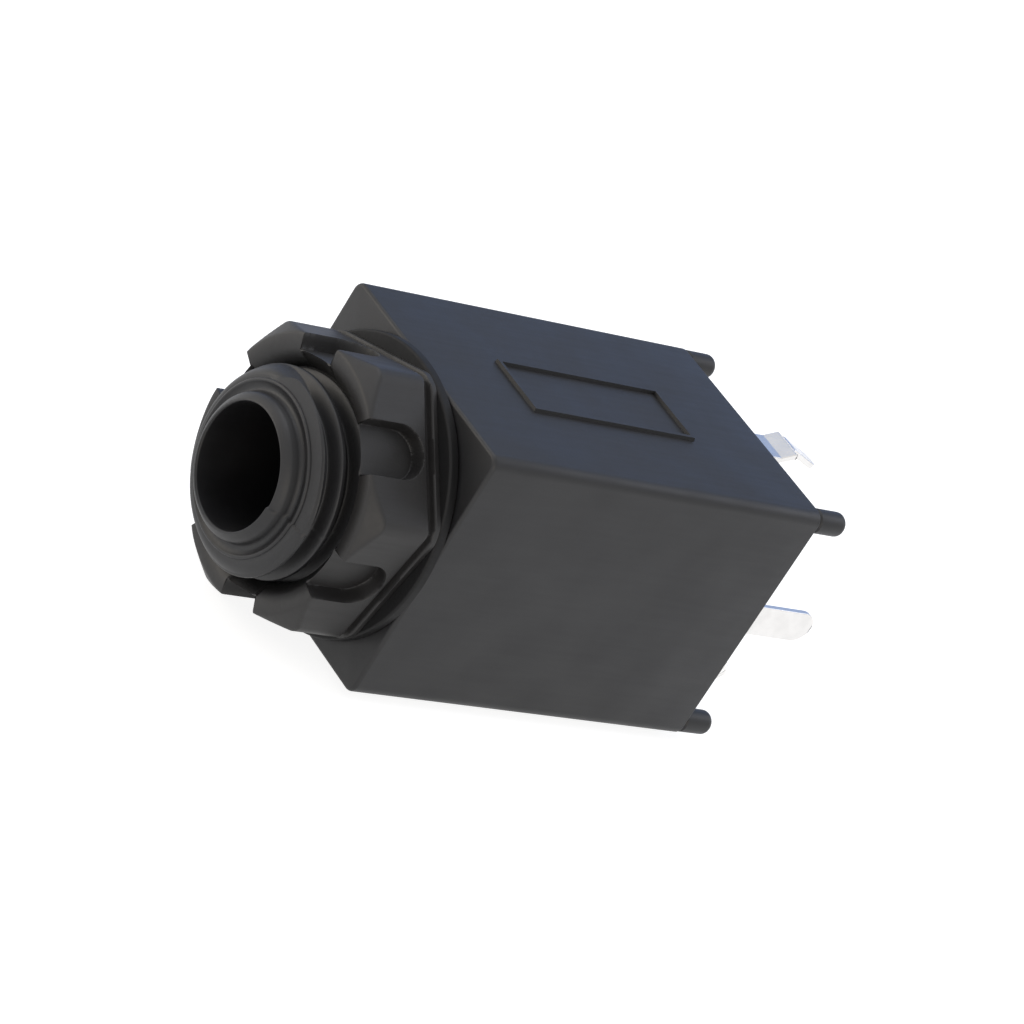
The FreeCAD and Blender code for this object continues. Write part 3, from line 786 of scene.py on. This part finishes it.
def nut_mesh():
    """Like sides about the bore's axis, closed where they meet."""
    size = in_mm("nut")
    sides, turn = bpy.context.scene.socket_nut.sides, bpy.context.scene.socket_nut.turn
    turns = [-turn - 2 * pi * i / sides for i in range(sides)]
    return placed_copies("slotted_nut", nut_side_mesh(size, sides), [(0, 0, 0)] * sides, turns,
                         "moulded_nut", sharp=50)


def thread_ridge_tree(surface):
    """A ridge that follows a helix about the bore and tapers over the last 6 % at both ends."""
    tree, given = new_tree("thread_ridge", [
        (size, "Float")
        for size in ("Radius", "Rise", "Turns", "Height", "Base", "Tip", "Start", "Turned")])
    helix = add_node(tree, "GeometryNodeCurveSpiral", {
        "Resolution": 90, "Rotations": given["Turns"], "Start Radius": given["Radius"],
        "End Radius": given["Radius"], "Height": given["Rise"]})
    upright = add_node(tree, "GeometryNodeSetCurveNormal", {"Curve": helix}, mode="Z_UP")
    along = add_node(tree, "GeometryNodeSplineParameter")
    ends = add_node(tree, "ShaderNodeMath", {0: along.outputs["Factor"], 1: 0.5},
                    operation="SUBTRACT")
    off = add_node(tree, "ShaderNodeMath", {0: ends}, operation="ABSOLUTE")
    width = add_node(tree, "ShaderNodeMapRange", {"Value": off, 1: 0.44, 2: 0.5, 3: 1.0, 4: 0.05})
    corners = {}
    section = ((0.0, "Base", -1.0), (given["Height"], "Tip", -1.0),
               (given["Height"], "Tip", 1.0), (0.0, "Base", 1.0))
    for number, (reach, side, sign) in enumerate(section, start=1):
        aside = add_node(tree, "ShaderNodeMath", {0: given[side], 1: sign}, operation="MULTIPLY")
        corners["Point %d" % number] = add_node(tree, "ShaderNodeCombineXYZ", {
            "X": reach, "Y": aside})
    profile = add_node(tree, "GeometryNodeCurvePrimitiveQuadrilateral", corners, mode="POINTS")
    ridge = add_node(tree, "GeometryNodeCurveToMesh", {
        "Curve": upright, "Profile Curve": profile, "Scale": width, "Fill Caps": True})
    place = add_node(tree, "ShaderNodeCombineXYZ", {"Y": given["Start"]})
    about = add_node(tree, "ShaderNodeCombineXYZ", {"X": pi / 2, "Y": given["Turned"]})
    laid = add_node(tree, "GeometryNodeTransform", {
        "Geometry": ridge, "Translation": place, "Rotation": about})
    return close_tree(tree, laid, surface)


def nut_thread_mesh():
    size = in_mm("nut")
    nose = in_mm("nose")
    rear_margin, front_margin, half_base, half_tip = 0.45, 0.1, 0.33, 0.13
    foot = size.bore + 0.04
    start, end = -size.rear - rear_margin, -size.front + size.mouth + front_margin
    valley = crest_place(nose, 0) + nose.pitch / 2
    return grown("nut_thread", thread_ridge_tree("moulded_nut"), {
        "Radius": foot * MM, "Rise": (start - end) * MM, "Turns": (start - end) / nose.pitch,
        "Height": (foot - size.thread) * MM, "Base": half_base * MM, "Tip": half_tip * MM,
        "Start": start * MM, "Turned": (start - valley) / nose.pitch * 2 * pi})


class MakeNut(bpy.types.Operator):
    """Make the hexagon nut with its spanner slots and its own thread"""
    bl_idname = "socket.slotted_nut"
    bl_label = "Slotted nut"

    def execute(self, context):
        add_piece("slotted_nut", nut_mesh(), "moulded_nut", "nut", ["hex_nut"])
        add_piece("nut_thread", nut_thread_mesh(), "moulded_nut", "nut")
        return {"FINISHED"}


# Rear cover, tags, springs and rivets

class MakeRearCover(bpy.types.Operator):
    """Make the plate that closes the rear of the body"""
    bl_idname = "socket.rear_cover"
    bl_label = "Rear cover"

    def execute(self, context):
        size = in_mm("body")
        contact = in_mm("contacts")
        reach, corner = size.recess - size.cover_gap, size.recess_post - size.cover_gap
        inner = contact.strip_middle - contact.strip / 2 - SLACK
        outline = notched_square(reach, corner, strip_notches(contact.ring_place), inner - reach)
        shape = bmesh.new()
        ends = [add_loop(shape, at(outline, along)) for along in (size.end - size.cover, size.end)]
        join_loops(shape, *ends)
        for loop in ends:
            shape.faces.new(loop)
        cover = add_piece("cover_plate", settle(shape, "cover_plate"), "moulded_body", "housing",
                          ["rear_cover"])
        soften(cover, 0.1)
        return {"FINISHED"}


def bent_path(corners):
    """A line through (along, height, radius) corners, with an arc of that radius at each bend."""
    step, least_turn = 9, 0.01    # degrees from point to point of an arc, and radians
    line = [Vector(corners[0][:2])]
    for before, here, after in zip(corners, corners[1:], corners[2:]):
        corner = Vector(here[:2])
        back = (Vector(before[:2]) - corner).normalized()
        on = (Vector(after[:2]) - corner).normalized()
        turn = pi - back.angle(on)
        if turn < least_turn or not here[2]:
            line.append(corner)
            continue
        reach = here[2] * tan(turn / 2)
        centre = corner + (back + on).normalized() * (here[2] / cos(turn / 2))
        first, last = corner + back * reach - centre, corner + on * reach - centre
        pieces = max(2, round(degrees(turn) / step))
        for i in range(pieces + 1):
            share = i / pieces
            swung = first * sin((1 - share) * turn) + last * sin(share * turn)
            line.append(centre + swung / sin(turn))
    return line + [Vector(corners[-1][:2])]


def with_stations(line, stations):
    """The same line with a point at each station along the bore."""
    apart = 1e-4
    for station in stations:
        for i, (first, second) in enumerate(zip(line, line[1:])):
            if first.x + apart < station < second.x - apart:
                line.insert(i + 1, first.lerp(second, (station - first.x) / (second.x - first.x)))
                break
    return line


def strip_mesh(name, corners, sides, stations, thickness, turn):
    """A strip bent along a path, its two sides given by the place along the bore, turned to its
    wall."""
    line = with_stations(bent_path(corners), stations)
    points = []
    for i, here in enumerate(line):
        run = (line[min(i + 1, len(line) - 1)] - line[max(i - 1, 0)]).normalized()
        across = Vector((-run.y, run.x)) * thickness / 2
        low, high = sides(here.x)
        for x, offset in ((low, -across), (high, -across), (high, across), (low, across)):
            along, height = here + offset
            points.append((x * cos(turn) + height * sin(turn), along,
                           height * cos(turn) - x * sin(turn)))
    last = 4 * (len(line) - 1)
    ends = [(0, 1, 2, 3), (last, last + 1, last + 2, last + 3)]
    return mesh_of(name, points, wrapped(len(line), 4, around=False) + ends, 25)


def tag_widths(size, start, end, half):
    """Stations and half widths of a strip whose tag is narrower from its start and round-ended."""
    stations = [end - half + half * sin(radians(a)) for a in (0, 20, 38, 52, 64, 74, 82, 88)]

    def half_at(along):
        past = max(0.0, along - (end - half))
        tag = max(PINHOLE, sqrt(max(0.0, half * half - past * past)))
        return size.strip_half if along < start else tag
    return stations + [start - NEAR, start + NEAR], half_at


# The kinked tags, in millimetres: where the kink starts and where its crest is, behind the body,
# and how far the crest stands out
KINK_START, KINK_CREST, KINK_OUT = 2.2, 3.2, 0.42
JOG_BEFORE = 2.0    # millimetres before the rear edge at which the ring's strip has moved aside
STRIP_BEFORE = 1.5  # millimetres before its rivet at which a strip starts
NEAR = 0.01         # millimetres over which a strip's width steps


def kinked_path(start, fall, size, rear):
    crest = size.strip_middle + KINK_OUT
    return [(start, size.strip_middle, 0), (rear + KINK_START, size.strip_middle, 0.35),
            (rear + KINK_CREST, crest, 0.3), (size.tag_end, crest - fall, 0)]


class MakeTags(bpy.types.Operator):
    """Make the three contact strips with their solder tags"""
    bl_idname = "socket.solder_tags"
    bl_label = "Solder tags"

    def execute(self, context):
        size, rear = in_mm("contacts"), in_mm("body").end
        jog_end = rear - JOG_BEFORE
        jog_start = jog_end - 2 * size.strip_half
        jogs = [jog_start, jog_start + NEAR, jog_end, jog_end + NEAR]
        marks, kinked = tag_widths(size, rear + KINK_CREST, size.tag_end, size.pin_half)
        sleeve_marks, straight = tag_widths(size, rear, size.sleeve_end, size.sleeve_half)

        def ring_sides(along):
            half, wide = kinked(along), size.strip_half
            return (-size.ring_place - half if along > jog_start else -wide,
                    -size.ring_place + half if along > jog_end else wide)

        start = {name: place - STRIP_BEFORE for name, (place, _) in CONTACTS.items()}
        made = (
            ("tip", kinked_path(start["tip"], size.tip_fall, size, rear),
             lambda along: (-kinked(along), kinked(along)), marks),
            ("ring", kinked_path(start["ring"], size.ring_fall, size, rear), ring_sides,
             marks + jogs),
            ("sleeve", [(start["sleeve"], size.strip_middle, 0),
                        (size.sleeve_end, size.strip_middle, 0)],
             lambda along: (-straight(along), straight(along)), sleeve_marks))
        for name, path, sides, marks in made:
            mesh = strip_mesh(name + "_tag", path, sides, marks, size.strip, CONTACTS[name][1])
            tag = add_piece(name + "_tag", mesh, "tinned_brass", "housing", [name + "_terminal"])
            soften(tag, 0.05, segments=2)
        return {"FINISHED"}


class MakeSprings(bpy.types.Operator):
    """Make the three leaf springs that press on the plug"""
    bl_idname = "socket.contact_springs"
    bl_label = "Contact springs"

    def execute(self, context):
        size = in_mm("contacts")
        half_pad, half_tip, bend_round, tail, tail_rise = 0.9, 0.3, 0.5, 2.2, 1.2
        # Each leaf's place along the bore where it meets the plug, its distance from the axis
        # there, and the way it points
        made = (("tip", 17.3, 2.35, 1), ("ring", 12.5, 2.75, 1), ("sleeve", 5.2, 2.85, -1))
        for name, bend, reach, way in made:
            anchor, turn = CONTACTS[name]
            low = reach + size.leaf / 2
            path = [(anchor - half_pad * way, size.pad_middle, 0),
                    (anchor + half_pad * way, size.pad_middle, bend_round),
                    (bend - half_tip * way, low, bend_round),
                    (bend + half_tip * way, low, bend_round),
                    (bend + tail * way, low + tail_rise, 0)]
            if way < 0:
                path.reverse()
            mesh = strip_mesh(name + "_leaf", path, lambda along: (-size.leaf_half, size.leaf_half),
                              [], size.leaf, turn)
            leaf = add_piece(name + "_leaf", mesh, "nickel_plated_bronze", name + "_leaf",
                             [name + "_spring"])
            soften(leaf, 0.06, segments=2)
        return {"FINISHED"}


class MakeRivets(bpy.types.Operator):
    """Make the rivets that fasten the springs to their strips"""
    bl_idname = "socket.contact_rivets"
    bl_label = "Contact rivets"

    def execute(self, context):
        size = in_mm("contacts")
        stand_off, rim, dome, steps = 0.25, 0.12, 0.28, 32
        under = size.pad_middle - size.leaf / 2 - stand_off
        outer = size.strip_middle + size.strip / 2
        head = [(x * size.rivet_head, under - rim - dome * y) for x, y in arc((0, 0), 1, 0, 90, 6)]
        profile = [(size.rivet, outer), (size.rivet, under), (size.rivet_head, under)] + head[:-1]
        profile += [(PINHOLE, under - rim - dome), (PINHOLE, outer)]
        points = [(radius * cos(2 * pi * i / steps), radius * sin(2 * pi * i / steps), height)
                  for radius, height in profile for i in range(steps)]
        rivet = mesh_of("rivet", points, wrapped(len(profile), steps))
        places = [(0, place, 0) for place, _ in CONTACTS.values()]
        mesh = placed_copies("contact_rivets", rivet, places,
                             [turn for _, turn in CONTACTS.values()], "tinned_brass")
        add_piece("contact_rivets", mesh, "tinned_brass", "housing",
                  [name + "_rivet" for name in CONTACTS])
        return {"FINISHED"}


# Stage

def seen_as_background(tree):
    """One for rays that look at the background, straight or by reflection, and nought for light."""
    path = add_node(tree, "ShaderNodeLightPath").outputs
    straight = add_node(tree, "ShaderNodeMath", {
        0: path["Is Camera Ray"], 1: path["Is Glossy Ray"]}, operation="MAXIMUM")
    return add_node(tree, "ShaderNodeMath", {
        0: straight, 1: path["Is Transmission Ray"]}, operation="MAXIMUM")


def add_lamp(name, place, aim, width, power, code):
    """A soft square lamp at a place in millimetres, turned towards a point."""
    data = bpy.data.lights.new(name, "AREA")
    data.shape = "SQUARE"
    data.size = width * MM
    data.energy = power
    data.color = linear(code)[:3]
    lamp = add_object(name, data)
    lamp.location = Vector(place) * MM
    lamp.rotation_euler = (Vector(aim) - Vector(place)).to_track_quat("-Z", "Y").to_euler()


def add_stage(name, corners, material):
    """A flat piece of the studio, which isn't part of the socket."""
    mesh = bpy.data.meshes.new(name)
    mesh.from_pydata([Vector(corner) * MM for corner in corners], [], [(0, 1, 2, 3)])
    mesh.materials.append(material)
    piece = add_object(name, mesh)
    piece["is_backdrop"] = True
    return piece


def add_card(name, centre, width, height, code, glow):
    """A matt card that stands outside the picture and faces the socket."""
    centre = Vector(centre)
    aside = centre.cross(Vector((0, 0, 1))).normalized() * width / 2
    upwards = aside.cross(centre).normalized() * height / 2
    material = principled(name, Base_Color=linear(code), Roughness=1.0, Specular_IOR_Level=0.0,
                          Emission_Color=linear(code), Emission_Strength=glow)[0]
    card = add_stage(name, [centre - aside - upwards, centre + aside - upwards,
                            centre + aside + upwards, centre - aside + upwards], material)
    card.visible_camera = False


# Each card's name, middle, width, height, colour and glow
CARDS = (
    ("cool_card", (-250, 245, 150), 560, 330, "#9fb2d6", 0.75),
    ("grey_card", (130, 205, 190), 200, 200, "#d0d2d8", 0.4))
# Each lamp's name, place, point that it lights, width, watts and colour
LAMPS = (
    ("left_softbox", (-175, -195, 62), (0, -2, 0), 140, 0.2, "#fff4e4"),
    ("upper_softbox", (-90, -40, 240), (0, 4, 0), 140, 0.15, "#f4f6ff"),
    ("back_softbox", (40, 240, 160), (0, 10, 0), 140, 0.12, "#f4f6ff"),
    ("low_softbox", (170, -120, 5), (0, 5, 0), 120, 0.12, "#fff0de"))
PAPER_GLOW, AIR_STRENGTH = 0.86, 0.5
FLOOR_REACH, FLOOR_GAP = 3000, 0.02    # millimetres
# The camera's place in millimetres, its line of sight and its upward direction, as fitted
CAMERA = (151.806, -151.653, 97.041), (-0.62522, 0.67024, -0.39984), (-0.62348, -0.12079, 0.77245)


def add_camera():
    data = bpy.data.cameras.new("camera")
    data.lens, data.sensor_width = 161.3, 36
    data.clip_start, data.clip_end = 0.01, 20
    camera = add_object("camera", data)
    place, look, up = (Vector(values) for values in CAMERA)
    look = look.normalized()
    right = look.cross(up.normalized()).normalized()
    turned_to = Matrix((right, right.cross(look), -look)).transposed().to_4x4()
    camera.matrix_world = Matrix.Translation(place * MM) @ turned_to
    bpy.context.scene.camera = camera


class MakeStudio(bpy.types.Operator):
    """Make the pale floor, the lamps and the camera"""
    bl_idname = "socket.studio"
    bl_label = "Studio"

    def execute(self, context):
        scene = context.scene
        material, tree, shader, _ = principled("studio_paper", Base_Color=linear("#c4c3c1"),
                                               Roughness=0.9, Specular_IOR_Level=0.0)
        glow = add_node(tree, "ShaderNodeEmission", {
            "Color": linear(STUDIO_WHITE), "Strength": PAPER_GLOW})
        both = add_node(tree, "ShaderNodeAddShader", {0: shader, 1: glow})
        seen = add_node(tree, "ShaderNodeMixShader", {
            0: seen_as_background(tree), 1: shader, 2: both})
        feed(tree, tree.nodes["Material Output"], {"Surface": seen})
        low = min(CAD_BOX[0].z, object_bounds()[0].z) / MM - FLOOR_GAP
        add_stage("studio_floor", [(x * FLOOR_REACH, y * FLOOR_REACH, low)
                                   for x, y in ((-1, -1), (1, -1), (1, 1), (-1, 1))], material)

        world = bpy.data.worlds.new("studio_air")
        scene.world = world
        world.use_nodes = True
        tree = world.node_tree
        air = tree.nodes["Background"]
        feed(tree, air, {"Color": linear("#f2f4f8"), "Strength": AIR_STRENGTH})
        white = add_node(tree, "ShaderNodeBackground", {
            "Color": linear(STUDIO_WHITE), "Strength": 1.0})
        mixed = add_node(tree, "ShaderNodeMixShader", {
            0: seen_as_background(tree), 1: air, 2: white})
        feed(tree, tree.nodes["World Output"], {"Surface": mixed})

        for card in CARDS:
            add_card(*card)
        for lamp in LAMPS:
            add_lamp(*lamp)
        add_camera()
        scene.view_settings.view_transform = "Standard"
        return {"FINISHED"}


PIECES = (MakeBodyShell, MakeNose, MakePegs, MakeRearCover, MakeWasher, MakeNut, MakeTags,
          MakeSprings, MakeRivets, MakeStudio)
GROUPS = {"socket_body": BodySizes, "socket_nose": NoseSizes, "socket_nut": NutSizes,
          "socket_contacts": ContactSizes, "socket_finishes": Finishes}


class SocketPanel(bpy.types.Panel):
    """Lists the pieces of the jack socket"""
    bl_idname = "SOCKET_PT_pieces"
    bl_label = "Jack socket"
    bl_space_type = "VIEW_3D"
    bl_region_type = "UI"
    bl_category = "Jack socket"

    def draw(self, context):
        for piece in PIECES:
            self.layout.operator(piece.bl_idname, text=piece.bl_label)


def register():
    for group in GROUPS.values():
        bpy.utils.register_class(group)
    for name, group in GROUPS.items():
        setattr(bpy.types.Scene, name, PointerProperty(type=group))
    for piece in PIECES + (SocketPanel,):
        bpy.utils.register_class(piece)


def unregister():
    for piece in reversed(PIECES + (SocketPanel,)):
        bpy.utils.unregister_class(piece)
    for name in GROUPS:
        delattr(bpy.types.Scene, name)
    for group in GROUPS.values():
        bpy.utils.unregister_class(group)


def main():
    register()
    for piece in PIECES:
        family, name = piece.bl_idname.split(".")
        getattr(getattr(bpy.ops, family), name)()


if __name__ == "__main__":
    main()
